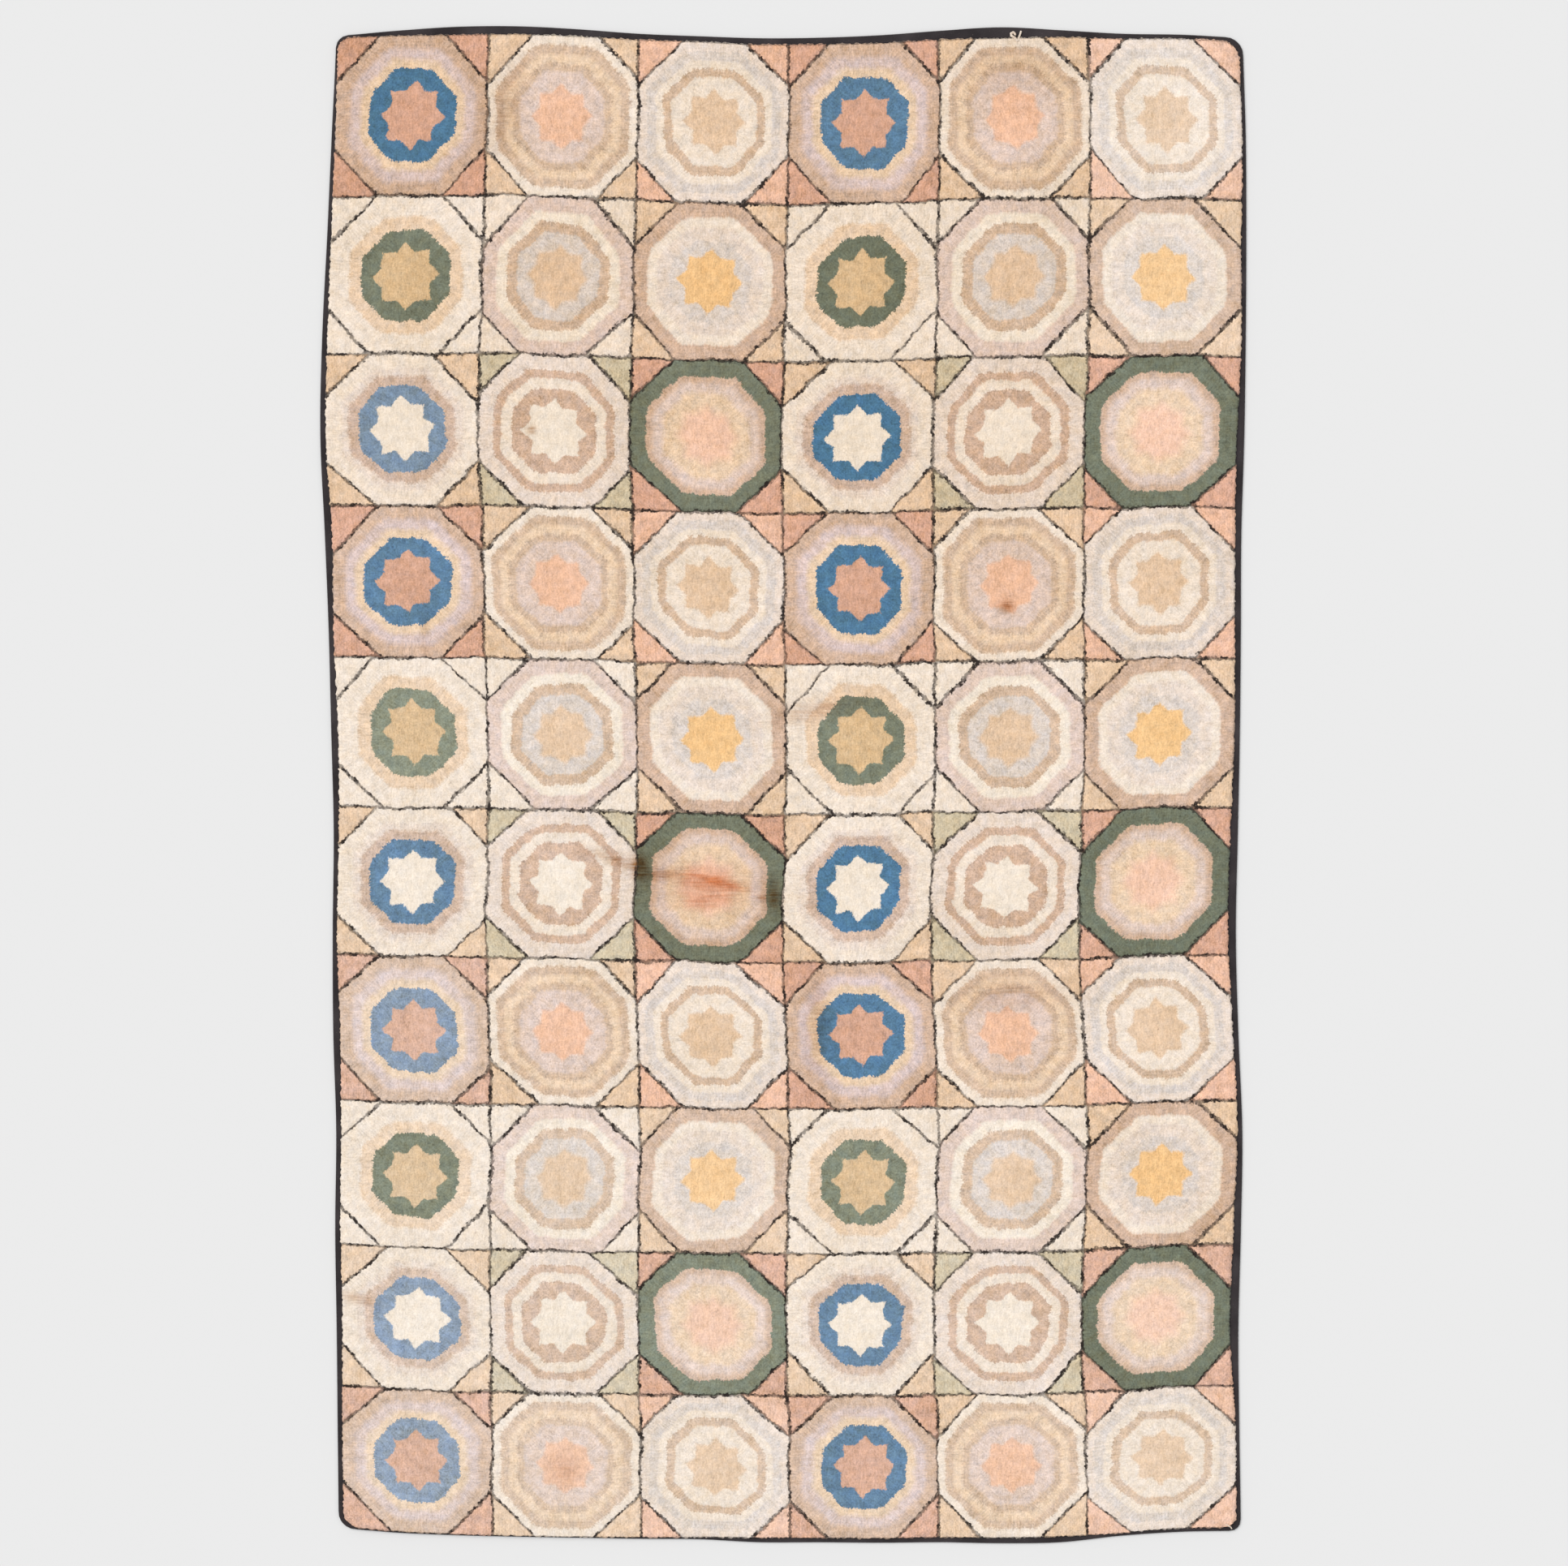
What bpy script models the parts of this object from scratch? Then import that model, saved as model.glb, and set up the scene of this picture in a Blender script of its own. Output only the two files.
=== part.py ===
"""A hooked wool rug with a bound edge, lying flat with its pile up.

Two solids are made. The hooked field is the backing cloth with its dense pile: it lies on the floor,
and its bare hem stands out all round as a thin lip. The edge binding is one cloth tape that wraps
that lip: it runs under the hem, folds round the edge and ends on the face against the pile.

The rug is X wide and Y long, its face is up (+Z), and its origin is on the floor at its middle.
"""

import math

import bmesh
import bpy

MM = 0.001

# Driving dimensions, in metres
RUG_WIDTH = 1.830  # six blocks of pattern and the binding, across
RUG_LENGTH = 3.045  # ten blocks of pattern and the binding, along
PILE_TOP = 0.0110  # the pile's mean height above the floor
PILE_SWELL = 0.0006  # how far the pile rises and falls in slow waves
TAPE_THICKNESS = 0.0010
TAPE_HEIGHT = 0.0046  # the folded tape, from the floor to its face
TAPE_UNDER = 0.0280  # how far the tape reaches in under the rug
GAP = 0.0003  # between the two pieces
LIP_INSET = 0.0023  # the hem's edge, inside the fold of the tape
SHOULDER_WIDTH = 0.0040  # where the pile rounds off at its edge
SHOULDER_DROP = 0.0009
SIDE_WIDTH = 0.0010
SIDE_DROP = 0.0038
SMALLEST_CORNER_RADIUS = 0.0040

# The corners' radii: left and top is (0, 1)
CORNER_RADII = {(0, 1): 0.024, (1, 1): 0.034, (0, 0): 0.032, (1, 0): 0.022}

# The long sides, in millimetres, in even steps from the top corner to the bottom one: how far the edge
# bows out from a straight rug, and how wide the tape shows on the face
LEFT_OUT, LEFT_TAPE, RIGHT_OUT, RIGHT_TAPE = range(4)
SIDES = (
    (-14, 6, 10, 10),
    (-5, 9, 16, 9),
    (4, 10, 17, 12),
    (14, 13, 16, 11),
    (18, 13, 13, 17),
    (9, 17, 7, 15),
    (1, 12, 6, 14),
    (-4, 16, 4, 13),
    (-9, 13, 0, 17),
    (-7, 11, -4, 18),
    (-8, 16, 1, 13),
    (-14, 12, 9, 12),
    (-12, 13, 6, 17),
    (-15, 14, 1, 19),
    (-17, 12, 3, 10),
    (-19, 12, 6, 11),
)

# The two ends, in millimetres, in even steps from the left corner to the right one
TOP_OUT, TOP_TAPE, BOTTOM_OUT, BOTTOM_TAPE = range(4)
ENDS = (
    (-14, 6, -24, 4),
    (-4, 12, -15, 4),
    (4, 18, -10, 4),
    (5, 18, -7, 4),
    (-1, 16, -5, 4),
    (-10, 14, -3, 5),
    (-15, 13, -2, 6),
    (-19, 15, 4, 11),
    (-18, 15, 4, 11),
    (-13, 18, 5, 11),
    (-4, 20, 4, 12),
    (3, 24, 6, 13),
    (-3, 16, 4, 14),
    (-10, 12, -9, 7),
    (-12, 10, -17, 9),
    (-18, 9, -19, 9),
)

# Steps of the solids along the rug, and the two extra ones that each corner takes, from its sides
STEPS_ACROSS = 24
STEPS_ALONG = 40
CORNER_STEPS = (0.018, 0.034)
FOLD_STEPS = 4

# The slow waves of the pile's surface: waves across the rug, waves along it, phase
SWELLS = ((2.0, 3.0, 0.4), (3.5, -5.0, 2.1), (-5.5, 8.0, 4.0))

# Colour, roughness and metallic value
WOOL_LOOK = ((0.78, 0.64, 0.50, 1.0), 0.95, 0.0)
TAPE_LOOK = ((0.022, 0.018, 0.019, 1.0), 0.85, 0.0)


def along_table(table, column, share):
    """The column's value at this share of the table's length, on a smooth curve through its rows."""
    place = min(max(share, 0.0), 1.0) * (len(table) - 1)
    row = min(int(place), len(table) - 2)
    t = place - row
    before, start, end, after = (
        table[min(max(i, 0), len(table) - 1)][column] for i in range(row - 1, row + 3)
    )
    slope_start = (end - before) / 2
    slope_end = (after - start) / 2
    return MM * (
        (2 * t**3 - 3 * t**2 + 1) * start
        + (t**3 - 2 * t**2 + t) * slope_start
        + (3 * t**2 - 2 * t**3) * end
        + (t**3 - t**2) * slope_end
    )


def from_edge(distance):
    """An inset that lies this far inside the rug's edge. Insets are given the width of tape that shows."""
    return lambda tape: distance


def from_tape(distance):
    """An inset that lies this far inside the line where the tape ends on the rug's face."""
    return lambda tape: tape + distance


def edges_at(u, v, inset):
    """Where the left, right, bottom and top edges run beside a point at the shares u across and v up."""
    down = 1.0 - v
    left = -RUG_WIDTH / 2 - along_table(SIDES, LEFT_OUT, down)
    right = RUG_WIDTH / 2 + along_table(SIDES, RIGHT_OUT, down)
    bottom = -RUG_LENGTH / 2 - along_table(ENDS, BOTTOM_OUT, u)
    top = RUG_LENGTH / 2 + along_table(ENDS, TOP_OUT, u)
    left += inset(along_table(SIDES, LEFT_TAPE, down))
    right -= inset(along_table(SIDES, RIGHT_TAPE, down))
    bottom += inset(along_table(ENDS, BOTTOM_TAPE, u))
    top -= inset(along_table(ENDS, TOP_TAPE, u))
    return left, right, bottom, top


def place_on_rug(u, v, inset):
    """The point at the shares u and v of the space inside the inset, with its corners rounded."""
    left, right, bottom, top = edges_at(u, v, inset)
    x = left + (right - left) * u
    y = bottom + (top - bottom) * v
    if 0 < u < 1 and 0 < v < 1:
        return x, y
    corner = (round(u), round(v))
    from_side = min(x - left, right - x)
    from_end = min(y - bottom, top - y)
    radius = max(CORNER_RADII[corner] - inset(0.0), SMALLEST_CORNER_RADIUS)
    if from_side < radius and from_end < radius:
        away = math.hypot(radius - from_side, radius - from_end)
        from_side = radius - radius * (radius - from_side) / away
        from_end = radius - radius * (radius - from_end) / away
        x = left + from_side if corner[0] == 0 else right - from_side
        y = bottom + from_end if corner[1] == 0 else top - from_end
    return x, y


def shares(length, steps):
    """Shares of a side at even steps, with the corner's extra ones near each end."""
    near = [distance / length for distance in CORNER_STEPS]
    even = [i / steps for i in range(1, steps)]
    return [0.0] + near + even + [1 - share for share in reversed(near)] + [1.0]


ACROSS = shares(RUG_WIDTH, STEPS_ACROSS)
ALONG = shares(RUG_LENGTH, STEPS_ALONG)
LAST_ACROSS = len(ACROSS) - 1
LAST_ALONG = len(ALONG) - 1

# The grid's border, anticlockwise seen from above
BORDER = (
    [(i, 0) for i in range(LAST_ACROSS)]
    + [(LAST_ACROSS, j) for j in range(LAST_ALONG)]
    + [(i, LAST_ALONG) for i in range(LAST_ACROSS, 0, -1)]
    + [(0, j) for j in range(LAST_ALONG, 0, -1)]
)


def middle_of_outline():
    """The middle of the box round the rug's outer edge."""
    outline = [place_on_rug(ACROSS[i], ALONG[j], from_edge(0.0)) for i, j in BORDER]
    xs = [x for x, y in outline]
    ys = [y for x, y in outline]
    return (min(xs) + max(xs)) / 2, (min(ys) + max(ys)) / 2


MIDDLE_X, MIDDLE_Y = middle_of_outline()


def point(i, j, inset, z):
    """The corner of the mesh at step i across and j along, at the height z."""
    x, y = place_on_rug(ACROSS[i], ALONG[j], inset)
    return x - MIDDLE_X, y - MIDDLE_Y, z


def pile_height(i, j):
    """The pile's height over the rug, in slow waves."""
    wave = sum(
        math.sin(2 * math.pi * (across * ACROSS[i] + along * ALONG[j]) + phase)
        for across, along, phase in SWELLS
    )
    return PILE_TOP + PILE_SWELL * wave / len(SWELLS)


def add_loop(mesh, inset, height):
    """One closed loop of vertices round the rug; height(i, j) gives each one's."""
    return [mesh.verts.new(point(i, j, inset, height(i, j))) for i, j in BORDER]


def loft(mesh, loops):
    """Faces between each loop and the next."""
    for outer, inner in zip(loops, loops[1:]):
        for k in range(len(outer)):
            after = (k + 1) % len(outer)
            mesh.faces.new((outer[k], outer[after], inner[after], inner[k]))


def level(z):
    """A loop at one height."""
    return lambda i, j: z


def hooked_field():
    """The backing with its pile: a grid for the face, and loops down its side, round the hem's lip
    and in under it to the flat underside."""
    mesh = bmesh.new()
    bmesh.ops.create_grid(mesh, x_segments=LAST_ACROSS, y_segments=LAST_ALONG, size=0.5)
    face_edge = from_tape(SHOULDER_WIDTH)
    steps = {}
    for vertex in mesh.verts:
        i = round((vertex.co.x + 0.5) * LAST_ACROSS)
        j = round((vertex.co.y + 0.5) * LAST_ALONG)
        on_border = i in (0, LAST_ACROSS) or j in (0, LAST_ALONG)
        drop = SHOULDER_DROP if on_border else 0.0
        vertex.co = point(i, j, face_edge, pile_height(i, j) - drop)
        steps[i, j] = vertex
    lip_top = TAPE_HEIGHT - TAPE_THICKNESS - GAP
    lip_bottom = TAPE_THICKNESS + GAP
    under = from_edge(TAPE_UNDER + GAP)
    loops = [
        [steps[step] for step in BORDER],
        add_loop(mesh, from_tape(SIDE_WIDTH), lambda i, j: pile_height(i, j) - SIDE_DROP),
        add_loop(mesh, from_tape(0.0), level(lip_top)),
        add_loop(mesh, from_edge(LIP_INSET), level(lip_top)),
        add_loop(mesh, from_edge(LIP_INSET), level(lip_bottom)),
        add_loop(mesh, under, level(lip_bottom)),
        add_loop(mesh, under, level(0.0)),
    ]
    loft(mesh, loops)
    mesh.faces.new(loops[-1])
    return mesh


def fold_arc(radius):
    """The insets and heights of a half circle round the fold of the tape, from its foot to its top."""
    middle = TAPE_HEIGHT / 2
    angles = [math.pi * k / FOLD_STEPS for k in range(FOLD_STEPS + 1)]
    return [(from_edge(middle - radius * math.sin(a)), middle - radius * math.cos(a)) for a in angles]


def edge_binding():
    """The tape: a flat strip folded in a U round the hem, its section the same all round but for the
    width that shows on the face."""
    outside = fold_arc(TAPE_HEIGHT / 2)
    inside = fold_arc(TAPE_HEIGHT / 2 - TAPE_THICKNESS)
    end = from_tape(-GAP)
    section = [(from_edge(TAPE_UNDER), 0.0)]
    section += outside
    section += [(end, TAPE_HEIGHT), (end, TAPE_HEIGHT - TAPE_THICKNESS)]
    section += reversed(inside)
    section += [(from_edge(TAPE_UNDER), TAPE_THICKNESS)]
    mesh = bmesh.new()
    loops = [add_loop(mesh, inset, level(z)) for inset, z in section]
    loft(mesh, loops + loops[:1])
    return mesh


def material(name, look):
    """A plain shader of the given colour, roughness and metallic value."""
    colour, roughness, metallic = look
    made = bpy.data.materials.new(name)
    made.use_nodes = True
    made.diffuse_color = colour
    shader = made.node_tree.nodes["Principled BSDF"]
    shader.inputs["Base Color"].default_value = colour
    shader.inputs["Roughness"].default_value = roughness
    shader.inputs["Metallic"].default_value = metallic
    return made


def add_part(collection, name, mesh, look):
    """Puts the finished mesh in the scene as one named object."""
    bmesh.ops.recalc_face_normals(mesh, faces=mesh.faces[:])
    data = bpy.data.meshes.new(name)
    mesh.to_mesh(data)
    mesh.free()
    data.materials.append(material(name + "_cloth", look))
    data.shade_smooth()
    data.set_sharp_from_angle(angle=math.radians(40))
    collection.objects.link(bpy.data.objects.new(name, data))


def main():
    for old in list(bpy.data.objects):
        bpy.data.objects.remove(old, do_unlink=True)
    rug = bpy.data.collections.new("hooked_rug")
    bpy.context.scene.collection.children.link(rug)
    add_part(rug, "hooked_field", hooked_field(), WOOL_LOOK)
    add_part(rug, "edge_binding", edge_binding(), TAPE_LOOK)


main()
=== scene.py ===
import math
from collections import namedtuple

import bpy
import numpy as np
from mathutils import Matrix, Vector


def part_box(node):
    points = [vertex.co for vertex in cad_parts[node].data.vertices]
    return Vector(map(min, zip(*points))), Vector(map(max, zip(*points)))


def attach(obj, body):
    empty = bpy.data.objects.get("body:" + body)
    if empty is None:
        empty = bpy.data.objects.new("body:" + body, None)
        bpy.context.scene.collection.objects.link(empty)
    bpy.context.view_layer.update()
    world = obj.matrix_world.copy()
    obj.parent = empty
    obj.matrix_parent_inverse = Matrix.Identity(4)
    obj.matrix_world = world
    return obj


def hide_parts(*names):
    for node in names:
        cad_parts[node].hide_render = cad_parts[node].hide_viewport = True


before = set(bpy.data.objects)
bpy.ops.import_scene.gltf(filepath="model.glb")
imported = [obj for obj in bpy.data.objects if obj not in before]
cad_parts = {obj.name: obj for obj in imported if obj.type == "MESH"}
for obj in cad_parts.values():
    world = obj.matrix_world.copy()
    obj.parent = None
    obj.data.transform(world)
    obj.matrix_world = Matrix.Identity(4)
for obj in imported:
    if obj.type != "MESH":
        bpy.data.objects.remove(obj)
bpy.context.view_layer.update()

# The finish of a hooked rug that lies flat: columns of wool pile, a burlap backing and a bound edge.
# The rug is X wide and Y long, its pile is up, and its middle is at the origin, on the floor.

MM = 0.001
PILE_TOP = 0.0110

# The rug's outline, as its solids have it

RUG_WIDTH = 1.830
RUG_LENGTH = 3.045
TAPE_THICKNESS = 0.0010
TAPE_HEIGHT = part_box("edge_binding")[1][2]
TAPE_UNDER = 0.0280
SMALLEST_CORNER_RADIUS = 0.0040
CORNER_RADII = ((0.032, 0.024), (0.022, 0.034))  # [left, right][bottom, top]

# The long sides, in millimetres, in even steps from the top corner to the bottom one: how far the edge
# bows out from a straight rug, and how wide the tape shows on the face
LEFT_OUT, LEFT_TAPE, RIGHT_OUT, RIGHT_TAPE = range(4)
SIDES = np.array((
    (-14, 6, 10, 10), (-5, 9, 16, 9), (4, 10, 17, 12), (14, 13, 16, 11),
    (18, 13, 13, 17), (9, 17, 7, 15), (1, 12, 6, 14), (-4, 16, 4, 13),
    (-9, 13, 0, 17), (-7, 11, -4, 18), (-8, 16, 1, 13), (-14, 12, 9, 12),
    (-12, 13, 6, 17), (-15, 14, 1, 19), (-17, 12, 3, 10), (-19, 12, 6, 11),
))

# The two ends, in millimetres, in even steps from the left corner to the right one
TOP_OUT, TOP_TAPE, BOTTOM_OUT, BOTTOM_TAPE = range(4)
ENDS = np.array((
    (-14, 6, -24, 4), (-4, 12, -15, 4), (4, 18, -10, 4), (5, 18, -7, 4),
    (-1, 16, -5, 4), (-10, 14, -3, 5), (-15, 13, -2, 6), (-19, 15, 4, 11),
    (-18, 15, 4, 11), (-13, 18, 5, 11), (-4, 20, 4, 12), (3, 24, 6, 13),
    (-3, 16, 4, 14), (-10, 12, -9, 7), (-12, 10, -17, 9), (-18, 9, -19, 9),
))

# The pattern: columns and rows of square blocks. ROW_LINES are the lines between the rows, as shares
# of the way down the pile
COLUMNS = 6
ROW_LINES = (0, 0.107, 0.2125, 0.314, 0.4155, 0.516, 0.615, 0.713, 0.810, 0.905, 1)
ROWS = len(ROW_LINES) - 1
HALF_BLOCK = 0.1525
OCTAGON_DIAGONAL = 0.7
SLANT_REACH = 1.438
SLANT_SPREAD = 0.07
SLANT_LEAN = 0.05
ROUNDING = 36
KNOT = 0.03

# How far a block's inner rings may be out of true, in radians and as shares of half a block, and the
# seeds of the fixed random numbers
MOST_TURN = 0.11
MOST_STRETCH = 0.05
MOST_LOBED = 0.04
MOST_ASIDE = 0.025
RINGS_SEED, REACH_SEED, LEAN_SEED, WALL_SEED = 11, 31, 41, 20
HEIGHT_SEED, ACROSS_SEED, ALONG_SEED = 1, 2, 3

# The hooked rows: each is a ridge with a groove beside it
HOOKED_ROWS = 24
RINGS = 2 * HOOKED_ROWS
CORNER_ROWS = 20
TUFT_STEPS_PER_RING = 0.66
ROW_RELIEF = 0.0006
TUFT_RELIEF = 0.0005
OUTLINE_GROOVE = 0.0011
OUTLINE_REACH = 0.0030
EDGE_DROP = 0.0012
EDGE_REACH = 0.0035
TUFT_SHIFT = 0.0009

# The pile's outer wall, in steps down from its rim: how far out and down each is, and how far out on its
# texture, in shares of half a block
SIDE_STEPS = ((0.0019, 0.0034, 0.03), (0.0004, PILE_TOP - TAPE_HEIGHT + 0.0002, 0.055))
PILE_SUNK = 0.0004
WALL_LEAST = 0.2
WALL_RAGGED = 1.6
# How much darker each step down the pile's outer wall is painted, as painted shade
WALL_PAINTED_SHADE = 0.5

# Marks of use. Each is a soft oval: x, y, half length, half width, turn in degrees, how strong
SOIL = (
    (-0.155, -0.200, 0.130, 0.045, -4, 0.20), (-0.253, -0.180, 0.035, 0.012, 0, 0.50),
    (-0.288, -0.165, 0.014, 0.030, 0, 0.90), (-0.020, -0.222, 0.014, 0.032, 0, 0.90),
    (-0.044, -0.227, 0.010, 0.006, 0, 0.50), (-0.335, -0.152, 0.070, 0.012, -20, 0.55),
    (0.449, 0.358, 0.016, 0.014, 0, 0.80), (-0.506, 0.714, 0.010, 0.009, 0, 0.70),
    (-0.857, -1.034, 0.040, 0.012, -15, 0.45), (0.065, 0.150, 0.090, 0.020, 12, 0.45),
    (0.450, 1.440, 0.120, 0.050, 0, 0.15), (0.460, -0.420, 0.110, 0.030, 0, 0.35),
    (-0.440, -1.380, 0.030, 0.030, 0, 0.35), (0.070, -0.480, 0.025, 0.110, 0, 0.45),
    (-0.560, 1.360, 0.030, 0.120, -15, 0.30), (-0.720, 0.320, 0.010, 0.060, 0, 0.25),
)
RUST = (
    (-0.160, -0.190, 0.062, 0.017, -9, 0.62), (-0.158, -0.233, 0.060, 0.014, 3, 0.36),
    (-0.118, -0.199, 0.045, 0.008, -16, 0.60), (-0.155, -0.212, 0.080, 0.042, 0, 0.22),
)

# How faded the blue and green rings are, from 0 to 1, by column and row of blocks, from the top left
FADED = {
    (0, 0): 0.02, (3, 0): 0.15, (0, 3): 0.18, (3, 3): 0.03, (0, 6): 0.75, (3, 6): 0.10,
    (0, 9): 0.82, (3, 9): 0.28, (0, 2): 0.62, (3, 2): 0.00, (0, 5): 0.28, (3, 5): 0.05,
    (0, 8): 0.78, (3, 8): 0.32, (0, 1): 0.18, (3, 1): 0.00, (0, 4): 0.68, (3, 4): 0.28,
    (0, 7): 0.42, (3, 7): 0.48, (2, 2): 0.16, (5, 2): 0.12, (2, 5): 0.12, (5, 5): 0.05,
    (2, 8): 0.42, (5, 8): 0.06,
}

# How pale the wool has gone, or how deep it has stayed where the number is negative: the trend down the
# rows of blocks, as row and amount, the trend across the columns, and the blocks that stand out from it
PALE_DOWN = ((0, -0.40), (2, -0.60), (4, 0.00), (6, 0.00), (7, 0.40), (9, 0.45))
PALE_ACROSS = ((0, 0.20), (4, -0.20), (5, 0.00))
BLOCK_PALE = {
    (0, 0): -0.60, (5, 0): 0.80, (1, 1): -0.50, (5, 1): 0.80, (5, 2): 0.50,
    (2, 5): -0.40, (0, 6): 0.40, (5, 7): -0.60,
}

# Slow waves of the pile's surface, as in the solid: waves across, waves along, phase
PILE_SWELL = 0.0006
SWELLS = ((2.0, 3.0, 0.4), (3.5, -5.0, 2.1), (-5.5, 8.0, 4.0))

# The hooker's uneven lines: amplitude, waves per metre across, waves per metre along, phase
WANDERS_X = ((0.0012, 3.1, 5.3, 0.3), (0.0009, 9.7, 7.1, 2.2), (0.0007, 6.0, 17.0, 4.4),
             (0.0006, 5.0, 31.0, 1.9), (0.0005, 11.0, 47.0, 0.8))
WANDERS_Y = ((0.0012, 4.3, 2.9, 1.1), (0.0009, 8.1, 10.3, 3.6), (0.0007, 19.0, 5.0, 5.2),
             (0.0006, 29.0, 7.0, 2.7), (0.0005, 43.0, 9.0, 5.6))


def srgb(code):
    """The linear colour of a code such as "F3E8DA"."""
    values = [int(code[i : i + 2], 16) / 255 for i in (0, 2, 4)]
    return tuple(v / 12.92 if v <= 0.04045 else ((v + 0.055) / 1.055) ** 2.4 for v in values) + (1.0,)


WOOL_CODES = dict(
    cream="F2E2D1", ivory="F5E7D6", blush="EBDACC", tan="D4B59E", fawn="D8BCA3", rose_tan="D4B9A6",
    lavender="DDC7C1", shell="E3CCBF", mist="E0D3C9", straw="ECD0B3", blue="4F7B9C",
    dusty_blue="98A6B9", green="717663", grey_green="9A9F8C", terracotta="DAAA91", salmon="F2C3A5",
    apricot="EDBFA4", peach="F6CBB1", sand="E7C8A9", khaki="DBBA8F", gold="F5C88F", sage="D2C3A6",
)
WOOL = {name: srgb(code) for name, code in WOOL_CODES.items()}
FADED_WOOL = {"blue": "dusty_blue", "green": "grey_green"}
PALE_WOOL = srgb("F2EADF")
PALE_SHARE = 0.27
DEEP_WOOL = (0.93, 0.88, 0.82, 1.0)
OUTLINE_COLOUR = srgb("211815")
SOIL_COLOUR = srgb("B58A5C")
RUST_COLOUR = srgb("E0AA84")

# How far the edges of the rings, the star and the corners stray, and how wide the edges of blue and green
# wool are, in shares of half a block
RAGGED = 0.040
RING_DRIFT = 0.060
STAR_DRIFT = 0.070
SLANT_DRIFT = 0.045
CRISP_EDGE = 0.012

# How much the wool's colour varies, as shares of its red, green and blue: dye that took unevenly, wear,
# strokes of the hook, single tufts, and painted shade, darker in the grooves between the rows and lighter
# on the ridges
DYE_LIGHT = (0.48, 0.51, 0.56)
DYE_WARMTH = (0.16, 0.02, -0.22)
WEAR = (0.20, 0.25, 0.36)
STROKE_LIGHT = (0.36, 0.37, 0.40)
TUFT_LIGHT = (0.36, 0.37, 0.39)
PAINTED_GROOVE_SHADE = (0.05, 0.052, 0.056)

# The light of wool, from 0 to 1: dark rings never pale. Dark wool varies more than pale wool and stars
DARK_RINGS = 0.32
DARKEST_WOOL = 0.42
PALEST_WOOL = 0.78
DARK_MOTTLE = 1.5
PALE_MOTTLE = 0.8
STAR_MOTTLE = 0.8

# Noises, in waves per metre. Strokes are along the row, then across it. Streaks are across the rug, then
# along it
TUFT_WAVES = 300.0
DRIFT_WAVES = 52.0
CLOUD_WAVES = 7.0
BEAD_WAVES = 190.0
FIBRE_WAVES = 800.0
STROKE_WAVES = (300.0, 62.0, 1.0)
STREAK_WAVES = (16.0, 190.0, 1.0)
DRIFT_ROUGHNESS = 0.68

# How noise becomes an amount: the noise's low and high, and the amounts at them. Lines are so wide, in
# shares of half a block, so beaded and so dark. Stains are broken into streaks
LINE_WEIGHT = (0.35, 0.65, 0.008, 0.021)
LINE_BEADS = (0.30, 0.70, 0.45, 1.50)
LINE_DEPTH = (0.41, 0.60, 0.56, 0.98)
STAIN_STREAKS = (0.30, 0.70, 0.60, 1.30)
LINE_SOFT = 0.0125

WOOL_ROUGHNESS = 0.95
WOOL_SHEEN = 0.12


# The nine blocks of the repeat, by row letter and column number. Each has the star's wool, how far its
# tips and notches reach and how soft its edge is, the corners' wool, how softly the pale rings blend, and
# the rings' wools and outer edges from the middle out. Distances are shares of half a block
Block = namedtuple("Block", "star tips notches star_blend corners blend rings")
BLOCKS = {
    "A1": Block("terracotta", 0.43, 0.32, 0.012, "terracotta", 0.070,
                (("blue", 0.575), ("straw", 0.69), ("lavender", 0.83), ("tan", 1.0))),
    "A2": Block("salmon", 0.40, 0.32, 0.035, "sand", 0.035,
                (("shell", 0.56), ("fawn", 0.655), ("straw", 0.77), ("fawn", 0.885), ("cream", 1.0))),
    "A3": Block("sand", 0.42, 0.32, 0.030, "apricot", 0.018,
                (("cream", 0.56), ("fawn", 0.67), ("cream", 0.77), ("mist", 0.885), ("blush", 1.0))),
    "B1": Block("khaki", 0.44, 0.33, 0.012, "cream", 0.040,
                (("green", 0.575), ("straw", 0.74), ("cream", 1.0))),
    "B2": Block("sand", 0.40, 0.32, 0.045, "cream", 0.025,
                (("mist", 0.54), ("fawn", 0.675), ("ivory", 0.81), ("shell", 1.0))),
    "B3": Block("gold", 0.43, 0.33, 0.025, "sand", 0.030,
                (("mist", 0.52), ("blush", 0.69), ("cream", 0.815), ("tan", 1.0))),
    "C1": Block("ivory", 0.44, 0.33, 0.012, "sand", 0.045,
                (("blue", 0.57), ("rose_tan", 0.70), ("blush", 0.80), ("cream", 1.0))),
    "C2": Block("ivory", 0.44, 0.33, 0.014, "sage", 0.020,
                (("tan", 0.56), ("cream", 0.69), ("tan", 0.80), ("blush", 1.0))),
    "C3": Block("peach", 0.40, 0.33, 0.100, "terracotta", 0.070,
                (("straw", 0.57), ("shell", 0.70), ("tan", 0.785), ("green", 1.0))),
}


def along_table(table, column, share):
    """The column's values at these shares of the table's length, on a smooth curve through its rows."""
    last = len(table) - 1
    place = np.clip(share, 0.0, 1.0) * last
    row = np.minimum(place.astype(int), last - 1)
    t = place - row
    before, start, end, after = (table[np.clip(row + i, 0, last), column] for i in (-1, 0, 1, 2))
    return MM * (
        (2 * t**3 - 3 * t**2 + 1) * start
        + (t**3 - 2 * t**2 + t) * (end - before) / 2
        + (3 * t**2 - 2 * t**3) * end
        + (t**3 - t**2) * (after - start) / 2
    )


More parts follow.
